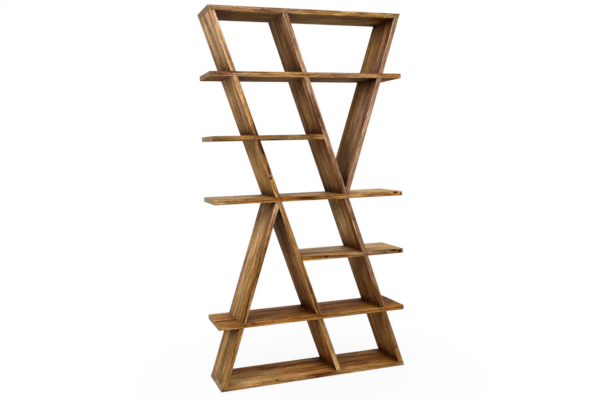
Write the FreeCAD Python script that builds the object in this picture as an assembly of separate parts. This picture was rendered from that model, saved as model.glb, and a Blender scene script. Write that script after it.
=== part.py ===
import FreeCAD, Part
import math
import os

# A free-standing zigzag bookshelf in solid timber. Millimetres, +Z up.
# The origin is on the floor, under the middle of the base board. The front faces -Y.

# Driving dimensions of the whole shelf
overall_width = 1000.0
board_depth = 250.0
board_thickness = 24.0
bay_height = 280.0  # clear height from one level to the next
lean_run = 616.0  # sideways travel of a long slanted board from the floor to the very top
edge_radius = 1.5  # easing of the long arrises

# Shelves from the base board up, one to a level
shelf_order = ["lower_shelf", "right_short_shelf", "middle_shelf", "left_short_shelf", "upper_shelf"]

# Cross-halving joints: the slanted board is slotted from the front, the shelf from the back
halving_share = 0.5  # the slanted board's slot, as a share of the depth
halving_gap = 0.2

# Glued dowels that hold a board's end to another board's face
dowel_diameter = 8.0
dowel_bevel = 1.0
dowel_gap = 0.1  # glue room around a dowel
dowel_end_gap = 1.0  # glue room past each end of a dowel
dowel_cover = 9.0  # wood left between a hole in a board's face and the board's other face
dowel_in_end = 26.0  # how far a dowel sits in the end of a board
dowel_in_tip = 12.0  # how far a dowel sits in the thin tip of an arm
dowel_edge_distance = 45.0  # from the front or back edge to the nearest dowel
dowels_per_joint = 3

# How far a cutting tool runs past the board that it cuts
overrun = 5.0

# Worked out from the driving dimensions
half_width = overall_width / 2
front = -board_depth / 2
back = board_depth / 2
half_plane = front + board_depth * halving_share
level_pitch = bay_height + board_thickness
overall_height = (len(shelf_order) + 1) * level_pitch + board_thickness
lean = lean_run / overall_height
slant_width = board_thickness * math.hypot(1, lean)
dowel_in_face = board_thickness - dowel_cover - dowel_end_gap


def underside(shelf):
    return (shelf_order.index(shelf) + 1) * level_pitch


def top_side(shelf):
    return underside(shelf) + board_thickness


# Outer faces of the slanted boards, as x at a height z


def left_diagonal_outer(z):
    return -half_width + (overall_height - z) * lean


def right_diagonal_outer(z):
    return half_width - z * lean


def upper_arm_outer(z):
    return half_width - (overall_height - z) * lean


def lower_arm_outer(z):
    return -half_width + z * lean


outer_face_on_left = {"left_diagonal": left_diagonal_outer, "lower_arm": lower_arm_outer}
outer_face_on_right = {"right_diagonal": right_diagonal_outer, "upper_arm": upper_arm_outer}


def slant_faces(slanted, z):
    """Left and right face of a slanted board, as x at a height z."""
    if slanted in outer_face_on_left:
        left = outer_face_on_left[slanted](z)
        return left, left + slant_width
    right = outer_face_on_right[slanted](z)
    return right - slant_width, right


def slant_middle(slanted, z):
    return sum(slant_faces(slanted, z)) / 2


# Outlines of the boards in the front view, as (x, z) points


def turned(points):
    """The outline after half a turn about the middle of the shelf's front."""
    return [(-x, overall_height - z) for x, z in points]


def base_outline():
    """The base board, its ends cut to the slant of the boards that stand on them."""
    return [
        (-half_width, 0),
        (half_width, 0),
        (right_diagonal_outer(board_thickness), board_thickness),
        (lower_arm_outer(board_thickness), board_thickness),
    ]


def left_diagonal_outline():
    foot = board_thickness
    head = overall_height - board_thickness
    foot_left, foot_right = slant_faces("left_diagonal", foot)
    head_left, head_right = slant_faces("left_diagonal", head)
    return [(foot_left, foot), (foot_right, foot), (head_right, head), (head_left, head)]


def arm_parting_height():
    """Height where the upper arm's inner face leaves the right diagonal."""
    return overall_height / 2 + slant_width / (2 * lean)


def upper_arm_outline():
    """The upper arm, its tip cut to lie against the right diagonal and on the middle shelf."""
    foot = top_side("middle_shelf")
    head = overall_height - board_thickness
    parting = arm_parting_height()
    head_left, head_right = slant_faces("upper_arm", head)
    return [
        (right_diagonal_outer(foot), foot),
        (upper_arm_outer(foot), foot),
        (head_right, head),
        (head_left, head),
        (right_diagonal_outer(parting), parting),
    ]


def full_shelf_outline(shelf):
    low = underside(shelf)
    high = top_side(shelf)
    return [(-half_width, low), (half_width, low), (half_width, high), (-half_width, high)]


def right_short_shelf_outline():
    low = underside("right_short_shelf")
    high = top_side("right_short_shelf")
    return [
        (slant_faces("left_diagonal", low)[1], low),
        (half_width, low),
        (half_width, high),
        (slant_faces("left_diagonal", high)[1], high),
    ]


outlines = {
    "top_board": turned(base_outline()),
    "base_board": base_outline(),
    "left_diagonal": left_diagonal_outline(),
    "right_diagonal": turned(left_diagonal_outline()),
    "upper_arm": upper_arm_outline(),
    "lower_arm": turned(upper_arm_outline()),
    "upper_shelf": full_shelf_outline("upper_shelf"),
    "left_short_shelf": turned(right_short_shelf_outline()),
    "middle_shelf": full_shelf_outline("middle_shelf"),
    "right_short_shelf": right_short_shelf_outline(),
    "lower_shelf": full_shelf_outline("lower_shelf"),
}

# Each crossing as the shelf and the slanted board
crossings = [
    ("lower_shelf", "lower_arm"),
    ("lower_shelf", "left_diagonal"),
    ("lower_shelf", "right_diagonal"),
    ("right_short_shelf", "right_diagonal"),
    ("middle_shelf", "left_diagonal"),
    ("middle_shelf", "right_diagonal"),
    ("left_short_shelf", "left_diagonal"),
    ("upper_shelf", "left_diagonal"),
    ("upper_shelf", "right_diagonal"),
    ("upper_shelf", "upper_arm"),
]


def prism(points, y_start, y_end):
    """A solid with this front outline, from one depth to another."""
    corners = [FreeCAD.Vector(x, y_start, z) for x, z in points]
    face = Part.Face(Part.makePolygon(corners + corners[:1]))
    return face.extrude(FreeCAD.Vector(0, y_end - y_start, 0))


def board(points):
    """A board with its long arrises eased, at the front and at the back."""
    solid = prism(points, front, back)
    front_and_back = [edge for edge in solid.Edges if edge.BoundBox.YLength < board_depth / 2]
    long_arrises = [edge for edge in front_and_back if edge.Length > board_depth]
    return solid.makeFillet(edge_radius, long_arrises)


def slot_for_shelf(slanted, shelf):
    """Front half of a crossing, cut from the slanted board. The shelf lies on the slot's floor."""
    low = underside(shelf)
    high = top_side(shelf) + halving_gap
    faces = slant_faces(slanted, low) + slant_faces(slanted, high)
    left = min(faces) - overrun
    right = max(faces) + overrun
    outline = [(left, low), (right, low), (right, high), (left, high)]
    return prism(outline, front - overrun, half_plane + halving_gap)


def slot_for_slanted(slanted, shelf):
    """Back half of a crossing, cut from the shelf."""
    low = underside(shelf) - overrun
    high = top_side(shelf) + overrun
    low_left, low_right = slant_faces(slanted, low)
    high_left, high_right = slant_faces(slanted, high)
    outline = [
        (low_left - halving_gap, low),
        (low_right + halving_gap, low),
        (high_right + halving_gap, high),
        (high_left - halving_gap, high),
    ]
    return prism(outline, half_plane, back + overrun)


# Dowel joints. Each gives the board whose end is drilled, the board whose face is drilled, a point
# on the plane between them, the direction from the first to the second, and how far a dowel sits
# in the first.


def head_joint(slanted):
    joint_plane = overall_height - board_thickness
    middle_of_dowel = joint_plane - dowel_in_end / 2
    point = FreeCAD.Vector(slant_middle(slanted, middle_of_dowel), 0, joint_plane)
    return slanted, "top_board", point, FreeCAD.Vector(0, 0, 1), dowel_in_end


def foot_joint(slanted):
    joint_plane = board_thickness
    middle_of_dowel = joint_plane + dowel_in_end / 2
    point = FreeCAD.Vector(slant_middle(slanted, middle_of_dowel), 0, joint_plane)
    return slanted, "base_board", point, FreeCAD.Vector(0, 0, -1), dowel_in_end


def left_shelf_joint():
    z = underside("left_short_shelf") + board_thickness / 2
    point = FreeCAD.Vector(slant_faces("right_diagonal", z)[0], 0, z)
    return "left_short_shelf", "right_diagonal", point, FreeCAD.Vector(1, 0, 0), dowel_in_end


def right_shelf_joint():
    z = underside("right_short_shelf") + board_thickness / 2
    point = FreeCAD.Vector(slant_faces("left_diagonal", z)[1], 0, z)
    return "right_short_shelf", "left_diagonal", point, FreeCAD.Vector(-1, 0, 0), dowel_in_end


def upper_tip_joint():
    z = (top_side("middle_shelf") + arm_parting_height()) / 2
    point = FreeCAD.Vector(right_diagonal_outer(z), 0, z)
    return "upper_arm", "right_diagonal", point, FreeCAD.Vector(-1, 0, -lean), dowel_in_tip


def lower_tip_joint():
    z = overall_height - (top_side("middle_shelf") + arm_parting_height()) / 2
    point = FreeCAD.Vector(left_diagonal_outer(z), 0, z)
    return "lower_arm", "left_diagonal", point, FreeCAD.Vector(1, 0, lean), dowel_in_tip


dowel_joints = {
    "left_diagonal_head_dowels": head_joint("left_diagonal"),
    "right_diagonal_head_dowels": head_joint("right_diagonal"),
    "upper_arm_head_dowels": head_joint("upper_arm"),
    "left_diagonal_foot_dowels": foot_joint("left_diagonal"),
    "right_diagonal_foot_dowels": foot_joint("right_diagonal"),
    "lower_arm_foot_dowels": foot_joint("lower_arm"),
    "left_short_shelf_dowels": left_shelf_joint(),
    "right_short_shelf_dowels": right_shelf_joint(),
    "upper_arm_tip_dowels": upper_tip_joint(),
    "lower_arm_tip_dowels": lower_tip_joint(),
}


def dowel_places(point):
    """The joint's point, moved to each dowel's place across the depth."""
    first = front + dowel_edge_distance
    step = (board_depth - 2 * dowel_edge_distance) / (dowels_per_joint - 1)
    return [FreeCAD.Vector(point.x, first + i * step, point.z) for i in range(dowels_per_joint)]


def rod(radius, point, direction, behind, ahead):
    """A round rod through a point, reaching so far behind it and so far ahead of it."""
    axis = FreeCAD.Vector(direction).normalize()
    return Part.makeCylinder(radius, behind + ahead, point - axis * behind, axis)


def dowel(point, direction, in_end):
    pin = rod(dowel_diameter / 2, point, direction, in_end, dowel_in_face)
    rims = [edge for edge in pin.Edges if isinstance(edge.Curve, Part.Circle)]
    return pin.makeChamfer(dowel_bevel, rims)


def dowel_hole(point, direction, in_end):
    radius = dowel_diameter / 2 + dowel_gap
    return rod(radius, point, direction, in_end + dowel_end_gap, dowel_in_face + dowel_end_gap)


# Boards first, then their slots, then the dowels and their holes
nodes = {name: board(points) for name, points in outlines.items()}

for shelf, slanted in crossings:
    nodes[slanted] = nodes[slanted].cut(slot_for_shelf(slanted, shelf))
    nodes[shelf] = nodes[shelf].cut(slot_for_slanted(slanted, shelf))

for name, (end_board, face_board, point, direction, in_end) in dowel_joints.items():
    places = dowel_places(point)
    holes = Part.makeCompound([dowel_hole(place, direction, in_end) for place in places])
    nodes[end_board] = nodes[end_board].cut(holes)
    nodes[face_board] = nodes[face_board].cut(holes)
    nodes[name] = Part.makeCompound([dowel(place, direction, in_end) for place in places])

os.makedirs("parts", exist_ok=True)
for name, shape in nodes.items():
    shape.exportStep("parts/" + name + ".step")
    print(name, len(shape.Solids), "solids", round(shape.Volume), "mm3", shape.isValid())
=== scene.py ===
# %% [markdown]
# # A zigzag bookshelf in solid hardwood
# The bookshelf is eleven thick boards: a top, a base, five shelves and four boards that lean between
# them. Its construction is settled and comes in as a fixed frame, so this lesson is about its looks.
# The frame's boards could simply be painted. Real boards have worn arrises, chips, glue lines and
# knots, though, so each one is built again here as a mesh of its own, at exactly the same size.

# %% Load the frame
import math
import random
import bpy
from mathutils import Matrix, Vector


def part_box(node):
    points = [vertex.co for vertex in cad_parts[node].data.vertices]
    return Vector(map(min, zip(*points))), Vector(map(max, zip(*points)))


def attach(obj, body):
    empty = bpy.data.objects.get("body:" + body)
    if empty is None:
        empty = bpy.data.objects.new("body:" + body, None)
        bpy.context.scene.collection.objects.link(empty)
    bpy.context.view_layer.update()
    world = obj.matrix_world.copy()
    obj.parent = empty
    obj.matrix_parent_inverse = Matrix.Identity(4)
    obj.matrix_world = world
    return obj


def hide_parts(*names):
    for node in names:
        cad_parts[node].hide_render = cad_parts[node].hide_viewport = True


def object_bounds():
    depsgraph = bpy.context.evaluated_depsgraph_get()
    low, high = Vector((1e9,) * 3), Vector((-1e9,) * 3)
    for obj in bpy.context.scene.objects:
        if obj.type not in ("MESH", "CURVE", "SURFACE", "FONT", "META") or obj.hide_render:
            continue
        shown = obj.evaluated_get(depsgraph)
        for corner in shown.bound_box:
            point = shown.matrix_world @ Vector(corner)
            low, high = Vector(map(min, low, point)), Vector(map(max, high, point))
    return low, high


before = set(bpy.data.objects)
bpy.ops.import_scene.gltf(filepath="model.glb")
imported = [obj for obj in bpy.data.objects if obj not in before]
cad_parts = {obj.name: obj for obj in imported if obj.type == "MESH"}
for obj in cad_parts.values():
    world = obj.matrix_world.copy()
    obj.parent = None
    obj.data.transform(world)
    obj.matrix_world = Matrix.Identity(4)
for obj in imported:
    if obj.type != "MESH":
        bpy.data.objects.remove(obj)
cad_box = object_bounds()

from types import SimpleNamespace

import bmesh
import bpy
import numpy as np
from mathutils import Matrix, Vector, noise

scene = bpy.context.scene
scene.view_settings.view_transform = "Standard"
print("nodes in the frame:", len(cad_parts))

# %% [markdown]
# ## The camera
# The photograph was taken from the left of the shelf, at about chest height, looking slightly down.
# A camera can be aimed by eye. Here its place and angles were worked out from the corners of the
# boards, so every edge falls where it does in the picture.

# %% Stand the camera where the photographer stood
camera_place = Vector((-1.1421, -3.1673, 1.1764))
heading = -0.33888
dip = -0.08035
camera_roll = -0.02548
focal_length_px = 652.55
photo_width_px = 600
film_width_mm = 36.0
quarter_turn = math.pi / 2

photographer = bpy.data.objects.new("photographer", bpy.data.cameras.new("photographer"))
photographer.data.sensor_width = film_width_mm
photographer.data.lens = focal_length_px / photo_width_px * film_width_mm
stand = Matrix.Translation(camera_place) @ Matrix.Rotation(heading, 4, "Z")
gaze = Matrix.Rotation(quarter_turn + dip, 4, "X") @ Matrix.Rotation(camera_roll, 4, "Z")
photographer.matrix_world = stand @ gaze
scene.collection.objects.link(photographer)
scene.camera = photographer
print("lens in mm:", round(photographer.data.lens, 2))

# %% [markdown]
# ## Soft studio light
# The picture has no hard shadows. Its front edges and the faces turned to the left are bright, and
# the insides of the bays fall away into brown shade. Large square lamps give such light: a main one
# at the front left, a weaker one at the front right, and a faint one behind for the far sides.

# %% Hang the lamps
shelf_middle = (cad_box[0] + cad_box[1]) / 2


def soft_lamp(name, place, width, watts):
    """A square lamp that faces the middle of the shelf."""
    lamp = bpy.data.objects.new(name, bpy.data.lights.new(name, "AREA"))
    lamp.data.size = width
    lamp.data.energy = watts
    lamp.location = place
    lamp.rotation_euler = (shelf_middle - Vector(place)).to_track_quat("-Z", "Y").to_euler()
    scene.collection.objects.link(lamp)
    return lamp


lamps = [
    soft_lamp("main_lamp", place=(-3.9, -1.8, 2.8), width=1.8, watts=150),
    soft_lamp("front_lamp", place=(0.4, -3.7, 3.0), width=2.2, watts=90),
    soft_lamp("back_lamp", place=(1.4, 3.4, 2.8), width=2.0, watts=45),
]
print("lamps:", [(lamp.name, lamp.data.energy) for lamp in lamps])

# %% [markdown]
# ## Sums on sockets
# A material is a web of nodes, and long webs are hard to read. This small class wraps one socket, so
# that a sum in Python adds the Math nodes for it. Every other kind of node comes from its one method,
# which sets the node's settings first and then gives its sockets their values or links.

# %% Wrap a socket


def set_stops(ramp, stops):
    """Gives a colour ramp these (position, colour) stops."""
    while len(ramp.elements) < len(stops):
        ramp.elements.new(1.0)
    for element, (position, colour) in zip(ramp.elements, stops):
        element.position = position
        element.color = colour


def both_ways(operation):
    """An operator for a strand and another value, and its reflected form."""
    return (
        lambda self, other: self.math(operation, self, other),
        lambda self, other: self.math(operation, other, self),
    )


class Strand:
    """One value, colour or vector that runs through a material's nodes."""

    def __init__(self, tree, socket=None):
        self.tree = tree
        self.socket = socket

    def add(self, kind, settings, sockets, output=0):
        node = self.tree.nodes.new("ShaderNode" + kind)
        for name, value in settings.items():
            if name == "stops":
                set_stops(node.color_ramp, value)
            else:
                setattr(node, name, value)
        for name, value in sockets.items():
            if isinstance(value, Strand):
                self.tree.links.new(value.socket, node.inputs[name])
            else:
                node.inputs[name].default_value = value
        return Strand(self.tree, node.outputs[output] if node.outputs else None)

    def math(self, operation, first, second, kind="Math"):
        return self.add(kind, {"operation": operation}, {0: first, 1: second})

    __add__, __radd__ = both_ways("ADD")
    __sub__, __rsub__ = both_ways("SUBTRACT")
    __mul__, __rmul__ = both_ways("MULTIPLY")
    __truediv__, __rtruediv__ = both_ways("DIVIDE")
    __pow__, __rpow__ = both_ways("POWER")

    def split(self):
        """The three parts of a vector."""
        part = self.add("SeparateXYZ", {}, {0: self})
        return [Strand(self.tree, output) for output in part.socket.node.outputs]

    def rise(self, low, high):
        """0 below low, 1 above high, and a soft slope between."""
        ends = {"Value": self, "From Min": low, "From Max": high}
        return self.add("MapRange", {"interpolation_type": "SMOOTHSTEP"}, ends)

    def blend(self, first, second):
        """The first colour where this value is 0 and the second where it is 1."""
        return self.add("Mix", {"data_type": "RGBA"}, {0: self, 6: first, 7: second}, 2)


def new_material(name):
    """An empty material, and a loose strand to start its nodes from."""
    material = bpy.data.materials.new(name)
    material.use_nodes = True
    material.node_tree.nodes.clear()
    return material, Strand(material.node_tree)


def show(surface):
    """Sends a shader to the material's output."""
    surface.add("OutputMaterial", {}, {"Surface": surface})


print("reflected operators:", [name for name in vars(Strand) if name.startswith("__r")])

# %% [markdown]
# ## The floor and the white background
# The shelf stands on pale paper that fades into a white background. More light could burn the paper
# white, but that would bleach the wood too. The paper is lit like the shelf and keeps its shadow, and
# what the camera sees of it is lifted to white by a glow that grows away from the shelf.

# %% Lay the floor
floor_half_width = 30.0
shadow_core, shadow_reach = 0.3, 1.2
near_glow, far_glow = 0.93, 1.0
full_light = 1.0
paper_colour = (0.75, 0.75, 0.75, 1)
white = (1, 1, 1, 1)


def seen_directly(strand):
    """1 for rays that show the background to the eye: straight, mirrored or through glass."""
    path = strand.add("LightPath", {}, {}).socket.node.outputs
    names = ["Is Camera Ray", "Is Glossy Ray", "Is Transmission Ray"]
    straight, mirrored, through_glass = (Strand(strand.tree, path[name]) for name in names)
    seen_at_all = straight + mirrored + through_glass
    return seen_at_all.math("MINIMUM", seen_at_all, 1)


paper, start = new_material("studio_paper")
lit = start.add("BsdfDiffuse", {}, {"Color": paper_colour})
glow = start.add("Emission", {}, {"Color": white, "Strength": full_light})
spot = start.add("TexCoord", {}, {}, "Object")
distance = start.add("VectorMath", {"operation": "LENGTH"}, {0: spot}, "Value")
lift = near_glow + (far_glow - near_glow) * distance.rise(shadow_core, shadow_reach)
show(start.add("MixShader", {}, {0: seen_directly(start) * lift, 1: lit, 2: glow}))

square = ((-1, -1), (1, -1), (1, 1), (-1, 1))
floor_corners = [(x * floor_half_width, y * floor_half_width, 0) for x, y in square]
floor_mesh = bpy.data.meshes.new("studio_floor")
floor_mesh.from_pydata(floor_corners, [], [range(4)])
floor_mesh.materials.append(paper)
floor = bpy.data.objects.new("studio_floor", floor_mesh)
scene.collection.objects.link(floor)
print("floor corners:", len(floor_mesh.vertices))

# %% Set the sky
sky_light = 0.20

scene.world = bpy.data.worlds.new("studio_sky")
scene.world.use_nodes = True
scene.world.node_tree.nodes.clear()
sky = Strand(scene.world.node_tree)
dim = sky.add("Background", {}, {"Color": white, "Strength": sky_light})
bright = sky.add("Background", {}, {"Color": white, "Strength": full_light})
sky_seen = sky.add("MixShader", {}, {0: seen_directly(sky), 1: dim, 2: bright})
sky.add("OutputWorld", {}, {"Surface": sky_seen})
print("nodes in the sky:", len(sky.tree.nodes))

# %% [markdown]
# ## Reading the boards from the frame
# Seven boards lie level and four lean. Their sizes could be typed in again, but then a change to the
# frame would leave the looks behind. So they are measured here: how thick and deep a board is, how
# each slanted board runs, and where two boards cross.

# %% Measure the boards
level_names = ["base_board", "lower_shelf", "right_short_shelf", "middle_shelf"]
level_names += ["left_short_shelf", "upper_shelf", "top_board"]
# Each slanted board is measured on the face that runs its full length: 0 is the left, 1 the right.
full_face = {"left_diagonal": 0, "lower_arm": 0, "right_diagonal": 1, "upper_arm": 1}
same_height = 1e-4
lowest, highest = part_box("lower_shelf")
front_y = lowest.y
depth = highest.y - lowest.y
thickness = highest.z - lowest.z


def heights(node):
    low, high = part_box(node)
    return low.z, high.z


def reach(node, height):
    """The leftmost and rightmost x of a node's corners at one height."""
    points = [v.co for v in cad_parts[node].data.vertices]
    found = [p.x for p in points if abs(p.z - height) < same_height]
    return min(found), max(found)


slant_width = np.ptp(reach("left_diagonal", heights("left_diagonal")[0]))
print("board", round(depth, 4), "deep and", round(thickness, 4), "thick")

# %% Follow the slanted boards


def left_face(slanted):
    """Where a slanted board's left face would meet the floor, and its run for each metre up."""
    side = full_face[slanted]
    low, high = heights(slanted)
    x_low, x_high = (reach(slanted, z)[side] - side * slant_width for z in (low, high))
    run = (x_high - x_low) / (high - low)
    return x_low - run * low, run


left_faces = {slanted: left_face(slanted) for slanted in full_face}


def left_x(slanted, z):
    start_x, run = left_faces[slanted]
    return start_x + run * z


def right_x(slanted, z):
    return left_x(slanted, z) + slant_width


def crosses(shelf, slanted):
    """Whether a slanted board passes right through a shelf."""
    low, high = heights(shelf)
    foot, head = heights(slanted)
    left, right = reach(shelf, low)
    within = left < left_x(slanted, low) and right_x(slanted, low) < right
    return foot < low and high < head and within


pairs = [(shelf, slanted) for shelf in level_names for slanted in full_face]
crossings = [(shelf, slanted) for shelf, slanted in pairs if crosses(shelf, slanted)]
print("crossings:", len(crossings))

# %% [markdown]
# ## Boards on the bench
# A joiner thinks of a board as along, across and through: along its length, across its depth from
# front to back, and through its thickness. Each board gets those three directions, and the lines
# where it is sawn: its two ends, and the halving slots where a shelf and a slanted board lock
# together. A shelf is slotted from the back and a slanted board from the front.

# %% Set out the shelves
halving_gap = 0.0002


def bench_board(name, corner, along, lines, slot_side, free_ends):
    """A board with its directions, and its saw lines as matching (through, along) places."""
    through = Vector((along.z, 0, -along.x)) if along.z else Vector((0, 0, 1))
    cuts = []
    for line in lines:
        steps = [Vector((x - corner.x, 0, z - corner.z)) for x, z in line]
        cuts.append(([step.dot(through) for step in steps], [step.dot(along) for step in steps]))
    spans = ["whole"] + [slot_side, "whole"] * ((len(cuts) - 2) // 2)
    return SimpleNamespace(
        name=name, corner=corner, along=along, through=through, cuts=cuts, spans=spans, free_ends=free_ends
    )


def shelf_on_bench(name):
    low, high = heights(name)
    left_end, right_end = ([(reach(name, z)[side], z) for z in (low, high)] for side in (0, 1))
    lines = [left_end]
    crossing = [slanted for shelf, slanted in crossings if shelf == name]
    for slanted in sorted(crossing, key=lambda slanted: left_x(slanted, low)):
        lines.append([(left_x(slanted, z) - halving_gap, z) for z in (low, high)])
        lines.append([(right_x(slanted, z) + halving_gap, z) for z in (low, high)])
    lines.append(right_end)
    free_ends = (name != "right_short_shelf", name != "left_short_shelf")
    return bench_board(name, Vector((0, front_y, low)), Vector((1, 0, 0)), lines, "front", free_ends)


boards = [shelf_on_bench(name) for name in level_names]
print("saw lines across each shelf:", [len(board.cuts) for board in boards])

# %% Set out the slanted boards


def level_line(slanted, z):
    return [(left_x(slanted, z), z), (right_x(slanted, z), z)]


def meeting_height(arm, diagonal):
    """Where the inner face of an arm leaves the diagonal that it leans against."""
    gap_at_floor = abs(left_faces[arm][0] - left_faces[diagonal][0])
    closing = abs(left_faces[arm][1] - left_faces[diagonal][1])
    side = 1 if full_face[arm] else -1
    return (gap_at_floor + side * slant_width) / closing


def slanted_on_bench(name):
    foot, head = heights(name)
    foot_line, head_line = level_line(name, foot), level_line(name, head)
    if name == "upper_arm":
        parting = meeting_height(name, "right_diagonal")
        foot_line[:1] = [(left_x(name, parting), parting), (right_x("right_diagonal", foot), foot)]
    if name == "lower_arm":
        parting = meeting_height(name, "left_diagonal")
        head_line[1:] = [(left_x("left_diagonal", head), head), (right_x(name, parting), parting)]
    lines = [foot_line]
    for shelf in [shelf for shelf, slanted in crossings if slanted == name]:
        low, high = heights(shelf)
        lines += [level_line(name, low), level_line(name, high + halving_gap)]
    along = Vector((left_faces[name][1], 0, 1)).normalized()
    corner = Vector((left_x(name, foot), front_y, foot))
    return bench_board(name, corner, along, lines + [head_line], "back", (False, False))


boards += [slanted_on_bench(name) for name in full_face]
print("boards on the bench:", len(boards))

# %% [markdown]
# ## Tones of the staves
# Each board is glued up from five staves behind a thin lip, all of slightly different colours, from
# pale sapwood to dark heartwood. A maker would pick them by eye, so a tone is three plain numbers
# here: how dark it is, how red, with olive below zero, and how rosy. A lip takes four tones and a
# stave two or three, from its foot to its head or from its left end to its right. On the middle and
# the right short shelf, the pale tones are partly painted highlight.

# %% Pick the staves
tones = {
    "cream": (0.04, 0.2, 0.3),
    "apricot": (0.06, 0.6, 0.0),
    "straw": (0.16, -0.5, 0.0),
    "peach": (0.20, 0.2, 0.8),
    "fawn": (0.34, -0.9, 0.6),
    "honey": (0.36, 0.0, 0.0),
    "copper": (0.40, 1.0, 0.0),
    "tan": (0.42, -0.6, 0.1),
    "rose": (0.44, 0.0, 0.9),
    "amber": (0.50, 0.2, 0.0),
    "olive": (0.54, -0.9, 0.0),
    "russet": (0.58, 1.0, 0.0),
    "chestnut": (0.64, 0.3, 0.1),
    "plum": (0.68, 0.1, 0.9),
    "moss": (0.70, -0.7, 0.0),
    "mahogany": (0.74, 1.0, 0.0),
    "umber": (0.80, 0.4, 0.1),
}
# The lip at the front of each board, and its staves from front to back
staves = {
    "base_board": [
        "chestnut honey amber amber", "straw copper russet", "straw russet russet",
        "straw copper mahogany", "russet mahogany russet", "russet chestnut honey",
    ],
    "lower_shelf": [
        "amber copper honey russet", "honey russet copper", "russet mahogany copper",
        "honey mahogany copper", "amber mahogany russet", "honey rose russet",
    ],
    # The pale staves of this shelf and the middle shelf are partly painted highlight, for the light their
    # tops catch.
    "right_short_shelf": [
        "copper chestnut plum umber", "amber rose apricot", "chestnut amber apricot",
        "tan fawn apricot", "fawn peach apricot", "straw cream apricot",
    ],
    "middle_shelf": [
        "tan mahogany honey copper", "fawn honey apricot", "fawn straw apricot",
        "fawn peach apricot", "fawn peach apricot", "fawn straw apricot",
    ],
    "left_short_shelf": [
        "moss umber olive straw", "amber tan", "amber tan",
        "chestnut tan", "tan honey", "olive amber",
    ],
    "upper_shelf": [
        "plum honey plum russet", "chestnut tan umber", "chestnut olive chestnut",
        "chestnut tan olive", "chestnut tan amber", "chestnut amber tan",
    ],
    "top_board": [
        "fawn rose amber moss", "chestnut honey chestnut", "umber honey umber",
        "umber tan honey", "umber tan honey", "chestnut amber amber",
    ],
    "left_diagonal": [
        "straw amber amber peach", "russet tan rose", "mahogany tan fawn",
        "russet honey rose", "russet tan fawn", "copper honey rose",
    ],
    "right_diagonal": [
        "honey plum rose rose", "chestnut chestnut plum", "amber chestnut plum",
        "chestnut tan chestnut", "copper tan rose", "copper fawn tan",
    ],
    "upper_arm": [
        "rose rose plum rose", "rose plum plum", "straw plum chestnut",
        "peach rose chestnut", "peach copper honey", "straw amber amber",
    ],
    "lower_arm": [
        "honey amber umber peach", "amber amber plum", "olive honey tan",
        "olive tan peach", "honey straw peach", "fawn rose fawn",
    ],
}
print("lips and staves picked:", sum(len(rows) for rows in staves.values()))

# %% [markdown]
# ## Knots, streaks and chips
# Knots sit where branches left the trunk. They are dark, the grain flows round them, and some have
# lost wood and left a hollow. Heartwood runs through a stave in dark streaks and sapwood in pale ones.
# A few dark streaks are painted shade instead, and a few pale ones painted highlight.
# Those that show in the picture are listed as shares of the board's own length, depth and
# thickness. Chips along the arrises are scattered with a fixed seed.

# %% Place the knots
mm = 0.001
# Shares along, across and through, then length, width and hollow in millimetres, and darkness
knots = {
    "left_diagonal": [
        (0.633, 0, 0.7, 22, 7, 2, 1), (0.58, 0, 0.62, 34, 7, 3, 1), (0.559, 0, 0.42, 13, 9, 3.5, 1),
        (0.868, 0.57, 0, 14, 9, 0.8, 0.8),
    ],
    "right_diagonal": [(0.695, 0, 0.05, 14, 6, 1.5, 0.9)],
    "middle_shelf": [(0.96, 0, 0.75, 18, 7, 2, 1), (0.993, 0, 0.45, 10, 10, 2.5, 1)],
    "right_short_shelf": [
        (0.125, 0, 0.65, 18, 6, 0.6, 0.35), (0.232, 0, 0.6, 16, 6, 2.2, 1), (0.9, 0, 0.75, 32, 8, 2, 1),
        (0.965, 0, 0.45, 20, 11, 3, 1),
    ],
    "base_board": [(0.285, 0, 1, 12, 8, 1.2, 1), (0.272, 0.12, 1, 18, 13, 0.4, 0.5)],
    "lower_shelf": [(0.17, 0, 0.7, 10, 5, 1, 0.9)],
}


def middle_place(cut):
    """How far along the board a saw line lies, in the middle of the thickness."""
    return float(np.interp(thickness / 2, *cut))


def end_places(board):
    return middle_place(board.cuts[0]), middle_place(board.cuts[-1])


def make_mark(place, length, width, hollow, dark):
    """A knot or a chip, its sizes given in millimetres."""
    length, width, hollow = (size * mm for size in (length, width, hollow))
    return SimpleNamespace(place=place, length=length, width=width, hollow=hollow, dark=dark)


def knot_marks(board):
    first, last = end_places(board)
    found = []
    for along, across, through, *sizes in knots.get(board.name, []):
        place = (first + along * (last - first), across * depth, through * thickness)
        found.append(make_mark(place, *sizes))
    return found


for board in boards:
    board.knots = knot_marks(board)
print("knots:", sum(len(board.knots) for board in boards))

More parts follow.
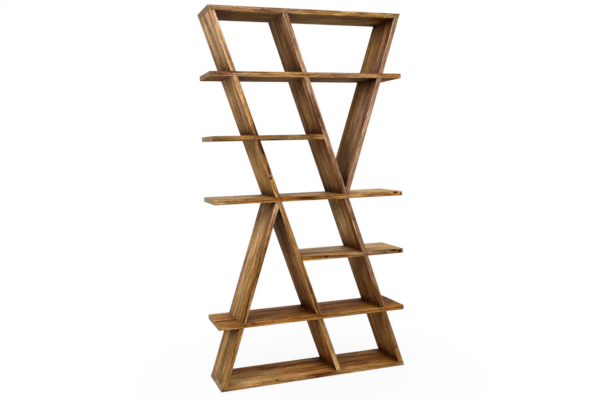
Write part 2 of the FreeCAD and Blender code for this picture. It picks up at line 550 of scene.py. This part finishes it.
# %% Lay the streaks
# Shares along, across and through, half length and width in millimetres, and added darkness
streaks = {
    "left_diagonal": [
        (0.76, 0, 1, 170, 6, 0.9), (0.69, 0, 1, 60, 11, 1), (0.64, 0, 0.8, 40, 9, 0.8),
        # The last streak on the line below is painted shade, just above the lower shelf.
        (0.6, 0, 1, 110, 10, 0.3), (0.24, 0, 1, 110, 12, 0.3), (0.19, 0.16, 0, 110, 55, 0.2),
        (0.9, 0.35, 0, 250, 5, 0.12),
    ],
    "right_diagonal": [
        (0.42, 0, 1, 250, 8, 0.2), (0.735, 0, 0.5, 110, 20, 0.45), (0.42, 0.6, 0, 90, 90, -0.38),
        (0.22, 0.5, 0, 70, 110, 0.2), (0.8, 0, 0.1, 25, 8, -0.2),
    ],
    "upper_arm": [(0.34, 0.6, 0, 130, 90, -0.18)],
    "lower_arm": [(0.3, 0, 0, 160, 8, 0.2), (0.7, 0.66, 0, 260, 5, 0.22)],
    "base_board": [
        (0.62, 0, 0.4, 110, 6, 0.08), (0.3, 0.34, 1, 200, 6, 0.3), (0.45, 0.7, 1, 300, 7, 0.25),
        (0.78, 0.46, 1, 120, 6, 0.3), (0.16, 0.86, 1, 140, 22, 0.2),
    ],
    "top_board": [(0.8, 0, 0.2, 120, 7, 0.22), (0.25, 0, 0.2, 110, 8, 0.25)],
    "lower_shelf": [
        (0.45, 0, 0.9, 150, 6, 0.18), (0.74, 0.5, 1, 70, 70, 0.2), (0.05, 0.36, 1, 60, 8, 0.4),
        (0.06, 0.64, 1, 50, 7, 0.35), (0.3, 0.46, 1, 110, 7, 0.3), (0.6, 0.3, 1, 90, 7, 0.3),
        (0.95, 0.4, 1, 60, 6, 0.4), (0.95, 0.74, 1, 60, 6, 0.35),
    ],
    # The two pale patches below, on the shelf tops near their right ends, are painted highlight.
    "middle_shelf": [(0.86, 0.62, 1, 140, 85, -0.45)],
    "right_short_shelf": [(0.8, 0.6, 1, 110, 80, -0.35)],
}


def streak_darkness(board, along, across, through):
    """Darkness that a board's streaks add at each point, a few of them painted shade and painted
    highlight.
    """
    first, last = end_places(board)
    found = np.zeros(along.shape)
    for at, side, up, length, width, dark in streaks.get(board.name, []):
        ahead = (along - first - at * (last - first)) / (length * mm)
        aside = np.hypot(across - side * depth, through - up * thickness) / (width * mm)
        found += dark * np.exp(-(ahead**2) - aside**2)
    return found


print("streaks:", sum(len(rows) for rows in streaks.values()))

# %% Scatter the chips
chips_per_metre = 5
# Ranges of a chip's length, width and hollow in millimetres, and of its darkness
chip_ranges = ((3, 9), (2.0, 3.5), (0.4, 1.1), (0, 0.35))
chance = random.Random(11)


def chip_marks(board):
    first, last = end_places(board)
    found = []
    for _ in range(round(chips_per_metre * (last - first))):
        arris = (chance.choice((0, depth)), chance.choice((0, thickness)))
        place = (chance.uniform(first, last), *arris)
        found.append(make_mark(place, *[chance.uniform(*limits) for limits in chip_ranges]))
    return found


for board in boards:
    board.chips = chip_marks(board)
print("chips:", sum(len(board.chips) for board in boards))

# %% [markdown]
# ## The section of a board
# Seen from its end a board is a long rectangle with eased corners. Its outline could come from a
# bevel modifier, but the staves, the glue lines and the marks need points exactly where they lie.
# So the outline is walked once round, from the middle of the low face over the front edge to the
# high face, and home over the back edge. Each point knows which way it faces and how it follows
# the radius of its corner.

# %% Rule the columns
column_step = 12 * mm
arris_room = 4 * mm
seam_half_width = 0.9 * mm
least_column = 0.5 * mm
lip_width = 4.5 * mm
uneven_mm = 5
mark_columns = (-1, -0.5, 0, 0.5, 1)


def spaced(places, least):
    """Sorted places with any that crowd their neighbour left out."""
    kept = []
    for place in sorted(places):
        if not kept or place - kept[-1] > least:
            kept.append(place)
    return kept


def stave_lines(board):
    """Glue lines across a board: behind its narrow lip come staves of slightly uneven width."""
    count = len(staves[board.name]) - 1
    even = [depth * k / count for k in range(1, count)]
    return [lip_width] + [line + chance.uniform(-uneven_mm, uneven_mm) * mm for line in even]


def board_columns(board):
    """Places across the broad faces: an even spacing, the knots, the glue lines and the middle."""
    columns = list(np.linspace(arris_room, depth - arris_room, round(depth / column_step)))
    for mark in board.knots:
        columns += [mark.place[1] + mark.width * k for k in mark_columns]
    seams = [line + k * seam_half_width for line in board.seams for k in (-1, 0, 1)]
    fixed = seams + [depth / 2]
    free = [c for c in columns if arris_room <= c <= depth - arris_room]
    free = [c for c in free if min(abs(c - f) for f in fixed) > 2 * least_column]
    return spaced(free + fixed, least_column)


for board in boards:
    board.seams = stave_lines(board)
    board.columns = board_columns(board)
print("columns across a board:", [len(board.columns) for board in boards])

# %% Walk round the section
edge_steps = 6
arris_steps = 4


def walk_section(board):
    columns = board.columns
    edge = list(np.linspace(arris_room, thickness - arris_room, edge_steps))
    edge = sorted(edge + [w for cut in board.cuts for w in cut[0][1:-1]])
    points = []

    def flat(places, facing):
        points.extend((a, w, 0, 0, *facing, -1) for a, w in places)

    def arris(corner, start_angle, number):
        a, w = corner
        inward = (1 if a == 0 else -1, 1 if w == 0 else -1)
        for k in range(arris_steps + 1):
            angle = start_angle - k / arris_steps * quarter_turn
            facing = (math.cos(angle), math.sin(angle))
            points.append((a, w, inward[0] + facing[0], inward[1] + facing[1], *facing, number))

    flat([(a, 0) for a in reversed(columns) if a <= depth / 2], (0, -1))
    arris((0, 0), -quarter_turn, 0)
    flat([(0, w) for w in edge], (-1, 0))
    arris((0, thickness), -2 * quarter_turn, 1)
    flat([(a, thickness) for a in columns], (0, 1))
    arris((depth, thickness), -3 * quarter_turn, 2)
    flat([(depth, w) for w in reversed(edge)], (1, 0))
    arris((depth, 0), -4 * quarter_turn, 3)
    flat([(a, 0) for a in reversed(columns) if a > depth / 2], (0, -1))
    names = "across through follow_across follow_through face_across face_through arris".split()
    section = SimpleNamespace(**dict(zip(names, np.array(points).T)), size=len(points))

    def flat_points(side):
        found = np.flatnonzero((section.arris < 0) & (section.face_through == side))
        return sorted(found, key=lambda j: section.across[j])

    section.low, section.high = flat_points(-1), flat_points(1)
    section.middle = columns.index(depth / 2)
    return section


for board in boards:
    board.section = walk_section(board)
print("points round a section:", [board.section.size for board in boards])

# %% [markdown]
# ## Stations along a board
# The section is repeated at stations along the board. Every saw line is a station of its own, so the
# slots come out sharp and slanted as they are sawn. Stations crowd where a knot or a chip needs them,
# and at a free end they follow a quarter circle, which eases the end's arris.

# %% Choose the stations
station_step = 14 * mm
least_station = 0.7 * mm
joint_line = (1.2 * mm, 2.5 * mm)
mark_stations = (-1, -0.6, -0.3, 0, 0.3, 0.6, 1)
end_radius = 1.1 * mm
end_room = 3 * end_radius
end_angles = [0, math.pi / 6, math.pi / 3, quarter_turn]


def span_shares(board, first, last):
    """Shares of the way from one saw line to the next."""
    start_place = middle_place(first)
    length = middle_place(last) - start_place
    count = round(length / station_step)
    places = [length * k / count for k in range(1, count)]
    for mark in board.knots + board.chips:
        middle = mark.place[0] - start_place
        places += [middle + mark.length * k for k in mark_stations]
    places = [place for place in places if end_room < place < length - end_room]
    for line_place in joint_line:
        places += [line_place, length - line_place]
    return [place / length for place in spaced(places, least_station)]


def eased_end(span, share, direction, angles):
    """Stations on the quarter circle that eases a free end."""
    shifts = [direction * end_radius * (1 - math.cos(angle)) for angle in angles]
    insets = [end_radius * (1 - math.sin(angle)) for angle in angles]
    return [(span, share, shift, inset) for shift, inset in zip(shifts, insets)]


def lay_stations(board):
    """Each station as (span, share of the span, shift along, inset)."""
    stations = []
    for span in range(len(board.spans)):
        shares = [0.0] + span_shares(board, board.cuts[span], board.cuts[span + 1])
        stations += [(span, share, 0.0, 0.0) for share in shares]
    stations.append((span, 1.0, 0.0, 0.0))
    if board.free_ends[0]:
        stations[:1] = eased_end(0, 0.0, 1, end_angles)
    if board.free_ends[1]:
        stations[-1:] = eased_end(span, 1.0, -1, end_angles[::-1])
    return stations


for board in boards:
    board.stations = lay_stations(board)
print("stations:", [len(board.stations) for board in boards])

# %% [markdown]
# ## Shaping the surface
# Now every point gets its place. The corner radius wanders a little along each arris, as it does when
# an edge is eased by hand and then used for years. The faces are very slightly uneven, the glue lines
# are hair-fine grooves, and knots and chips sink in. The same pass notes what the finish has to know:
# where the grain runs, how near a knot is, where hands have rubbed, where a glue line lies, and how
# deep in a corner a point is, for the shade that is painted into corners, deepest in narrow ones.

# %% Paint shade into the corners
corner_shade_fade = 15 * mm
edge_fade = 1.5 * mm
wide_fade = 75 * mm
corner_depth = 25 * mm
corner_bias, overhang_bias = 0.9, 3.4
narrowest = 2.1
near_share, wide_share = 0.6, 0.32
deepest_corner_shade = 1.5
edge_facing = 0.5


def painted_corner_shade(board, facing):
    """How much shade is painted at each point by the corners it lies in: about 1 where boards meet, and 0
    far away.
    """
    found = np.zeros(len(board.points))
    on_edge = np.tile(np.abs(board.section.face_across) > edge_facing, len(board.stations))
    fade = np.where(on_edge, edge_fade, corner_shade_fade)
    lifted = board.points + corner_depth * facing
    # Faces of the slanted boards that look down get a stronger bias: their narrow corners take deeper
    # painted shade and their open corners less.
    leaning_over = (facing[:, 2] < 0) & (board.along.z > 0)
    bias = np.where(leaning_over, overhang_bias, corner_bias)
    for other in [other for other in boards if other is not board]:
        steps = lifted - np.array(other.corner)
        first, last = end_places(other)
        along, through = steps @ np.array(other.along), steps @ np.array(other.through)
        past_end = np.maximum(first - along, along - last)
        past_face = np.maximum(-through, through - thickness)
        outside = np.hypot(np.maximum(past_end, 0), np.maximum(past_face, 0))
        inside = np.minimum(np.maximum(past_end, past_face), 0)
        near = np.exp((np.where(on_edge, inside, 0) - outside) / fade)
        wide = np.where(on_edge, 0, np.exp(-outside / wide_fade))
        toward = np.where(through > thickness / 2, 1, -1) * (facing @ np.array(other.through))
        narrow = np.clip(1 - bias * toward, 0, narrowest)
        found += narrow * (near_share * near + wide_share * wide)
    return np.minimum(found, deepest_corner_shade)


print("corner shade fades over", wide_fade, "m")

# %% Lay out the points
radius_mean = 1.7 * mm
radius_swing = 0.9 * mm
radius_pace, corner_jump, board_jump = 11, 5.3, 13.7
wave_along, wave_across, side_jump = 5, 9, 40


def wander(x, y, z):
    return noise.noise(Vector((x, y, z)))


def lay_out(board):
    """Places along, across and through of every point, and how far the end's arris insets it."""
    s = board.section
    along, inset, radius = (np.zeros((len(board.stations), s.size)) for _ in range(3))
    for i, (span, share, shift, station_inset) in enumerate(board.stations):
        first, last = (np.interp(s.through, *board.cuts[k]) for k in (span, span + 1))
        along[i] = first + share * (last - first) + shift
        inset[i] = station_inset
        place = float(along[i].mean())
        swings = [wander(place * radius_pace, corner * corner_jump, board.salt) for corner in range(4)]
        radius[i] = radius_mean + radius_swing * np.array(swings + [0])[s.arris.astype(int)]
    across = s.across + radius * s.follow_across
    through = s.through + radius * s.follow_through
    return along, across, through, inset


def unevenness(board, along, across, through):
    """Slow waves over the faces, from 0 to 1."""
    waves = []
    for t, a, w in zip(along.ravel(), across.ravel(), through.ravel()):
        high_side = side_jump * (w > thickness / 2)
        waves.append(wander(t * wave_along + board.salt, a * wave_across + high_side, w * wave_across))
    return (1 + np.array(waves).reshape(along.shape)) / 2


for number, board in enumerate(boards):
    board.salt = number * board_jump
print("arris radius:", radius_mean, "m, give or take", radius_swing)

# %% Shape the points
waviness = 0.28 * mm
seam_depth = 0.22 * mm
seam_core = 0.3 * seam_half_width
broad_facing = 0.99
hollow_floor = 1.6
grain_push = 0.8
bend_length, bend_width = 2.2, 3


def softly(x):
    return x * x * (3 - 2 * x)


def shape_points(board):
    s = board.section
    along, across, through, sink = lay_out(board)
    on_seam = np.any([np.abs(s.across - line) < seam_core for line in board.seams], axis=0)
    seam = np.ones(along.shape) * (on_seam & (np.abs(s.face_through) > broad_facing))
    sink = sink + waviness * unevenness(board, along, across, through) + seam_depth * seam
    knot = np.zeros(along.shape)
    grain_across, grain_through = across.copy(), through.copy()
    for mark in board.knots + board.chips:
        d_along, d_across, d_through = (p - c for p, c in zip((along, across, through), mark.place))
        off = np.hypot(d_across, d_through)
        near = np.clip(1 - np.hypot(d_along / mark.length, off / mark.width), 0, 1)
        sink = sink + mark.hollow * softly(np.clip(near * hollow_floor, 0, 1))
        knot = np.maximum(knot, mark.dark * near)
        if mark in board.knots:
            far = (d_along / (bend_length * mark.length)) ** 2 + (off / (bend_width * mark.width)) ** 2
            push = grain_push * mark.width * np.exp(-far) / (off + mark.width / 2)
            grain_across = grain_across - push * d_across
            grain_through = grain_through - push * d_through
    across = across - sink * s.face_across
    through = through - sink * s.face_through
    steps = np.stack([np.ravel(part) for part in (along, across, through)], 1)
    board.points = np.array(board.corner) + steps @ np.array([board.along, (0, 1, 0), board.through])
    board.grain = np.stack([np.ravel(part) for part in (along, grain_across, grain_through)], 1)
    facing = np.outer(np.tile(s.face_through, len(board.stations)), board.through)
    rubbed = np.tile(s.arris >= 0, len(board.stations))
    # Besides the knots and the rubbed arrises, the marks carry the painted corner shade.
    board.marks = np.stack([np.ravel(knot), rubbed, painted_corner_shade(board, facing)], 1)
    board.seam_note = np.ravel(seam)
    board.heart = np.ravel(streak_darkness(board, along, grain_across, grain_through))


for board in boards:
    shape_points(board)
print("points shaped:", sum(len(board.points) for board in boards))

# %% [markdown]
# ## Skinning the boards
# The points are joined into faces. A board is thought of as two halves, front and back, in spans
# between the saw lines, and a slot is simply a span with one half missing. A face is laid wherever
# wood meets air: round the outside, along the floor of each slot, and over each sawn end. That gives
# one closed skin for each board, with the true halving joints in it.

# %% Join the points into faces


def half_walks(section):
    """Points of the section's front half and back half, from the low middle to the high."""
    low_middle, high_middle = section.low[section.middle], section.high[section.middle]
    front = list(range(low_middle, high_middle + 1))
    back = list(range(high_middle, section.size)) + [low_middle]
    return {"front": front, "back": back[::-1]}


def cap_faces(section, half):
    """Faces over a sawn end of one half: strips between the low and the high face, and the rim."""
    count = len(section.low)
    ks = range(0, section.middle + 1) if half == "front" else range(count - 1, section.middle - 1, -1)
    low, high = [section.low[k] for k in ks], [section.high[k] for k in ks]
    walk = half_walks(section)[half]
    rim = walk[walk.index(low[0]) : walk.index(high[0]) + 1]
    strips = [(low[k], low[k + 1], high[k + 1], high[k]) for k in range(len(low) - 1)]
    return [tuple(rim)] + strips


def skin(board):
    """The faces of a board, and for each whether it is end grain."""
    section, size = board.section, board.section.size
    walks = half_walks(section)
    slot_floor = section.low[section.middle], section.high[section.middle]
    filled = [{"whole": {"front", "back"}}.get(span, {span}) for span in board.spans]
    held = [filled[station[0]] for station in board.stations[:-1]]
    faces, end_grain = [], []

    def lay(face, is_end):
        faces.append(tuple(int(v) for v in face))
        end_grain.append(is_end)

    for i, halves in enumerate(held):
        here, there = i * size, (i + 1) * size
        lines = [line for half in sorted(halves) for line in zip(walks[half], walks[half][1:])]
        if len(halves) == 1:
            lines.append(slot_floor)
        for p, q in lines:
            lay((here + p, there + p, there + q, here + q), False)
    for i in range(len(board.stations)):
        before = held[i - 1] if i > 0 else set()
        after = held[i] if i < len(held) else set()
        for half in sorted(before ^ after):
            for face in cap_faces(section, half):
                lay([i * size + j for j in face], True)
    return faces, end_grain


for board in boards:
    board.faces, board.end_grain = skin(board)
print("faces:", sum(len(board.faces) for board in boards))

# %% Make the meshes
sharp_angle = math.radians(32)


def board_mesh(board):
    """A closed mesh of the points in use, with sharp sawn edges."""
    renumber = np.full(len(board.points), -1)
    renumber[board.used] = np.arange(len(board.used))
    faces = [renumber[list(face)].tolist() for face in board.faces]
    mesh = bpy.data.meshes.new(board.name + "_wood")
    mesh.from_pydata(board.points[board.used].tolist(), [], faces)
    shell = bmesh.new()
    shell.from_mesh(mesh)
    bmesh.ops.recalc_face_normals(shell, faces=shell.faces)
    shell.to_mesh(mesh)
    shell.free()
    mesh.shade_smooth()
    mesh.set_sharp_from_angle(angle=sharp_angle)
    return mesh


for board in boards:
    board.used = np.unique(np.concatenate([np.array(face) for face in board.faces]))
    board.mesh = board_mesh(board)
print("mesh faces:", {board.name: len(board.mesh.polygons) for board in boards})

# %% [markdown]
# ## Notes for the finish
# A material can read values that a mesh carries. "grain" is the place along, across and through the
# wood, bent round the knots. "stave" holds a number that tells staves apart, with the stave's
# darkness and redness, and "rose" is how rosy it is. "marks" says how near a knot is, whether an
# arris is rubbed and how much shade is painted in its corner. "seam" marks the glue lines and
# "end_grain" the sawn ends.

# %% Write the notes
heart_redness = 1.5


def stave_tones(board):
    """For each stave a number of its own, and its tones with their places along the board."""
    first, last = end_places(board)
    found = []
    for row in staves[board.name]:
        stops = np.array([tones[word] for word in row.split()])
        found.append((chance.random(), np.linspace(first, last, len(stops)), stops))
    return found


def write_note(mesh, name, domain, values):
    kind, field = ("FLOAT_VECTOR", "vector") if np.ndim(values) == 2 else ("FLOAT", "value")
    layer = mesh.attributes.new(name, kind, domain)
    layer.data.foreach_set(field, np.ravel(values).astype(np.float32))


def write_notes(board):
    mesh, used = board.mesh, board.used
    corner_point = np.zeros(len(mesh.loops), np.int32)
    mesh.loops.foreach_get("vertex_index", corner_point)
    corner_face = np.repeat(np.arange(len(mesh.polygons)), [len(p.vertices) for p in mesh.polygons])
    across = board.points[used][:, 1] - front_y
    face_across = np.bincount(corner_face, across[corner_point]) / np.bincount(corner_face)
    corner_stave = np.searchsorted(board.seams, face_across)[corner_face]
    along = board.grain[used][corner_point, 0]
    number, dark, red, rosy = np.zeros((4, len(corner_point)))
    for k, (stave_number, places, stops) in enumerate(stave_tones(board)):
        here = corner_stave == k
        number[here] = stave_number
        for note, values in zip((dark, red, rosy), stops.T):
            note[here] = np.interp(along[here], places, values)
    # The streaks darken and redden the staves; a few of them are painted shade and painted highlight.
    heart = board.heart[used][corner_point]
    stave = np.stack([number, dark + heart, red + heart_redness * heart], 1)
    write_note(mesh, "grain", "POINT", board.grain[used])
    write_note(mesh, "marks", "POINT", board.marks[used])
    write_note(mesh, "seam", "POINT", board.seam_note[used])
    write_note(mesh, "stave", "CORNER", stave)
    write_note(mesh, "rose", "CORNER", rosy)
    write_note(mesh, "end_grain", "CORNER", np.array(board.end_grain, float)[corner_face])


for board in boards:
    write_notes(board)
print("notes on a board:", [layer.name for layer in boards[0].mesh.attributes])

# %% [markdown]
# ## The wood itself
# Wood can be a picture wrapped round a board, but a picture shows seams and never fits the end grain.
# It is better grown as a solid: rings round a pith that lies outside the stave, drawn out far along
# the grain and cut by whatever face happens to be there. A flat face then shows tall arches, an edge
# shows straight lines and an end shows arcs, all from the same sums.

# %% Grow the rings
noise_middle = 0.5
noise_roughness = 0.55
stave_jumps = {"X": 61, "Y": 173, "Z": 29}
luck_jump = 97
slow_shift, quick_shift = 30 * mm, 6 * mm
through_share = 0.6
ring_pitch = 7 * mm
ring_ripple = 1.1
pith_spread, pith_sway = 0.22, 0.05
pith_below, pith_fall, pith_tilt, pith_heave = 0.02, 0.08, 0.05, 0.03


def drawn_out(place, number, along, across, detail):
    """Noise that runs along the grain and changes this often in a metre along it and across it."""
    paced = place.math("MULTIPLY", place, (along, across, across), "VectorMath")
    jumps = {axis: number * jump for axis, jump in stave_jumps.items()}
    jump = place.add("CombineXYZ", {}, jumps)
    spot = place.math("ADD", paced, jump, "VectorMath")
    sockets = {"Vector": spot, "Scale": 1.0, "Detail": detail, "Roughness": noise_roughness}
    return place.add("TexNoise", {}, sockets)


def flowing(place, number):
    """The place in the wood, swayed a little sideways, as no trunk is quite straight."""
    slow_sway = drawn_out(place, number, 2.6, 5, 1) - noise_middle
    quick_sway = drawn_out(place, number, 9, 16, 1) - noise_middle
    shift = slow_sway * slow_shift + quick_sway * quick_shift
    sideways = place.add("CombineXYZ", {}, {"Y": shift, "Z": shift * through_share})
    return place.math("ADD", place, sideways, "VectorMath")


def growth_rings(place, number):
    """How far into its ring a point lies, from 0 to 1."""
    along, across, through = place.split()
    w = {"W": number * luck_jump}
    draw = place.add("TexWhiteNoise", {"noise_dimensions": "1D"}, w, "Color")
    luck_a, luck_b, luck_c = draw.split()
    sway = drawn_out(place, number, 1.6, 3, 2) - noise_middle
    ripple = drawn_out(place, number, 5, 40, 2) - noise_middle
    sideways = across - depth / 2 + (luck_a - noise_middle) * pith_spread + sway * pith_sway
    tilt = (luck_c - noise_middle) * along * pith_tilt
    below = through + pith_below + luck_b * pith_fall + tilt + sway * pith_heave
    from_pith = (sideways * sideways + below * below) ** 0.5
    rings = from_pith / ring_pitch + ripple * ring_ripple
    return rings.math("FRACT", rings, 0)


print("ring pitch in mm:", ring_pitch / mm)

# %% Draw the figure
streak_middle, ring_middle = 0.45, 0.35
hue_middle, rosy_middle = 0.52, 0.55
lively_jump, rosy_jump = 5, 3


def figure(place, number):
    """The parts of the wood's figure. Most swing about 0, so they darken and lighten alike."""

    def drawn(along, across, detail, own_number=number):
        return drawn_out(place, own_number, along, across, detail)

    ring = growth_rings(place, number)
    late_wood = ring.rise(0.45, 0.9) * (1 - ring.rise(0.93, 1.0))
    return SimpleNamespace(
        streak=drawn(1.8, 38, 3).rise(0.36, 0.68) - streak_middle,
        thin_streak=drawn(2.6, 125, 2).rise(0.36, 0.64) - noise_middle,
        cloud=drawn(5, 24, 3).rise(0.35, 0.65) - noise_middle,
        mottle=drawn(13, 95, 3) - noise_middle,
        fleck=drawn(60, 210, 1) - noise_middle,
        late_wood=late_wood - ring_middle,
        fibre=drawn(9, 480, 3) - noise_middle,
        pore=drawn(42, 1150, 1).rise(0.62, 0.72),
        lively=drawn(2.2, 10, 1, number + lively_jump).rise(0.35, 0.65),
        hue=drawn(4, 30, 2) - hue_middle,
        rosy_hue=drawn(3, 26, 2, number + rosy_jump) - rosy_middle,
    )


print("middles of streaks and rings:", streak_middle, ring_middle)

# %% [markdown]
# ## Colour and finish of the boards
# The figure is now given its colours. Four ramps run from pale sapwood to dark heartwood. Redness
# chooses between the olive, the golden and the rusty one, and rosiness blends in the last. Darkness
# adds up from the stave, the figure and the shade painted into corners, and thin streaks are bold in
# lively parts and faint in calm ones. The finish is an oiled satin: pores and glue lines are a little
# lower than the wood round them, and end grain is rougher.

# %% Choose the colours
palest, darkest = -0.25, 1.0
golden = [(248, 208, 147), (215, 175, 118), (182, 136, 79), (150, 107, 57), (116, 76, 37), (70, 39, 15)]
rusty = [(250, 206, 142), (220, 167, 102), (188, 127, 60), (156, 100, 39), (120, 68, 22), (74, 36, 10)]
rosy = [(250, 216, 172), (220, 186, 150), (178, 141, 109), (147, 107, 81), (112, 74, 54), (68, 40, 28)]
olive = [(244, 217, 171), (210, 180, 132), (176, 142, 92), (144, 112, 68), (106, 80, 44), (60, 42, 20)]


def seen(red, green, blue):
    """A colour as it is seen on a screen, 0 to 255, for a socket that wants light."""
    parts = [c / 255 for c in (red, green, blue)]
    return (*[((c + 0.055) / 1.055) ** 2.4 if c > 0.04045 else c / 12.92 for c in parts], 1)


end_tint = seen(140, 125, 106)
halo_tint = seen(92, 56, 28)
knot_tint = seen(34, 20, 12)
seam_tint = seen(58, 36, 20)
print("steps from sapwood to heartwood:", len(golden))

# %% Add up the darkness
figure_shares = {"streak": 0.22, "cloud": 0.28, "mottle": 0.72, "fleck": 0.60}
figure_shares |= {"late_wood": 0.20, "fibre": 0.46, "pore": 0.16}
calm_share, lively_share = 0.16, 0.34
thin_in_pale, thin_in_dark = 0.35, 1.2
painted_shade_share, rubbed_share = 0.42, 0.10


def darkness(dark, painted_shade, rubbed, part):
    """How dark the wood is, painted corner shade included: about 0 for sapwood and 1 for heartwood."""
    thin_share = (calm_share + lively_share * part.lively) * (thin_in_pale + thin_in_dark * dark)
    total = dark + thin_share * part.thin_streak
    for name, share in figure_shares.items():
        total = total + share * getattr(part, name)
    return total + painted_shade_share * painted_shade - rubbed_share * rubbed


print("parts that darken every stave:", list(figure_shares))

# %% Mix the hardwood
red_swing, rosy_swing = 1.4, 1.2
end_cover, seam_cover = 0.65, 0.7
halo_fray, mottle_fray, fleck_fray = 0.4, 0.5, 0.8
fibre_height, pore_depth, ring_height, groove_depth = 0.5, 0.8, 0.3, 0.6
relief_strength, relief_depth = 0.35, 0.4 * mm
satin, oil_sheen = 0.68, 0.03
fibre_rough, pore_rough, end_rough, rubbed_gloss = 0.2, 0.1, 0.1, 0.06


def hardwood():
    material, start = new_material("oiled_hardwood")

    def note(name, output):
        return start.add("Attribute", {"attribute_name": name}, {}, output)

    number, dark, red = note("stave", "Vector").split()
    knot, rubbed, painted_shade = note("marks", "Vector").split()
    seam, end = note("seam", "Fac"), note("end_grain", "Fac")
    part = figure(flowing(note("grain", "Vector"), number), number)
    ramp_share = (darkness(dark, painted_shade, rubbed, part) - palest) / (darkest - palest)
    redness = red + red_swing * part.hue
    rosiness = note("rose", "Fac") + rosy_swing * part.rosy_hue

    def ramp(colours):
        stops = [(k / (len(colours) - 1), seen(*colour)) for k, colour in enumerate(colours)]
        return start.add("ValToRGB", {"stops": stops}, {"Fac": ramp_share})

    wood = redness.rise(0.0, 1.0).blend(ramp(golden), ramp(rusty))
    wood = (0 - redness).rise(0.0, 1.0).blend(wood, ramp(olive))
    wood = rosiness.rise(0.0, 1.0).blend(wood, ramp(rosy))
    wood = (end * end_cover).blend(wood, end_tint)
    wood = (seam * seam_cover).blend(wood, seam_tint)
    halo = knot + halo_fray * part.fleck * knot.rise(0.0, 0.1)
    wood = halo.rise(0.0, 0.5).blend(wood, halo_tint)
    core = knot + (mottle_fray * part.mottle + fleck_fray * part.fleck)
    wood = core.rise(0.35, 0.65).blend(wood, knot_tint)

    height = fibre_height * part.fibre - pore_depth * part.pore
    height = height + ring_height * part.late_wood - groove_depth * seam
    relief = {"Strength": relief_strength, "Distance": relief_depth, "Height": height}
    bump = start.add("Bump", {}, relief, "Normal")
    roughness = satin + fibre_rough * part.fibre + pore_rough * part.pore
    roughness = roughness + end_rough * end - rubbed_gloss * rubbed
    sockets = {"Base Color": wood, "Roughness": roughness, "Normal": bump, "Specular IOR Level": oil_sheen}
    show(start.add("BsdfPrincipled", {}, sockets))
    return material


board_finish = hardwood()
print("nodes in the hardwood:", len(board_finish.node_tree.nodes))

# %% [markdown]
# ## Setting the boards in the frame
# Each finished board now takes the place of the plain one in the frame. The plain board stays behind
# it, unseen, to carry the collisions. Nothing on this shelf moves, so all the boards ride on its one
# body, and they all take the timber finish.

# %% Hang the boards
for board in boards:
    piece = bpy.data.objects.new(board.name + "_wood", board.mesh)
    scene.collection.objects.link(piece)
    board.mesh.materials.append(board_finish)
    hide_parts(board.name)
    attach(piece, "root")
print("boards hung:", len(boards))

# %% [markdown]
# ## The dowels
# Thirty glued dowels hold the ends of the boards. They are hidden once the shelf is together, and
# their shapes in the frame are right, so they keep them and only get a finish: pale turned beech with
# short darker flecks along the grain.

# %% Finish the dowels
beech_paces = (420, 420, 60)
beech_pale, beech_dark = seen(214, 178, 132), seen(182, 138, 94)


def beech():
    material, start = new_material("turned_beech")
    spot = start.add("TexCoord", {}, {}, "Object")
    line = start.math("MULTIPLY", spot, beech_paces, "VectorMath")
    fleck = start.add("TexNoise", {}, {"Vector": line, "Scale": 1.0, "Detail": 3})
    colour = fleck.rise(0.35, 0.7).blend(beech_pale, beech_dark)
    relief = {"Strength": 0.3, "Distance": 0.2 * mm, "Height": fleck}
    bump = start.add("Bump", {}, relief, "Normal")
    sockets = {"Base Color": colour, "Roughness": 0.5 + 0.2 * fleck, "Normal": bump}
    show(start.add("BsdfPrincipled", {}, sockets))
    return material


dowel_finish = beech()
dowels = [node for name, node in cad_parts.items() if name.endswith("_dowels")]
for node in dowels:
    node.data.materials.clear()
    node.data.materials.append(dowel_finish)
print("dowel groups finished:", len(dowels))

# %% [markdown]
# ## The size of the frame
# A finish mustn't change an object's size. The frame's own box was kept at the start, and it is
# printed here.

# %% Print the frame's box
print("frame", [tuple(round(x, 4) for x in c) for c in cad_box])
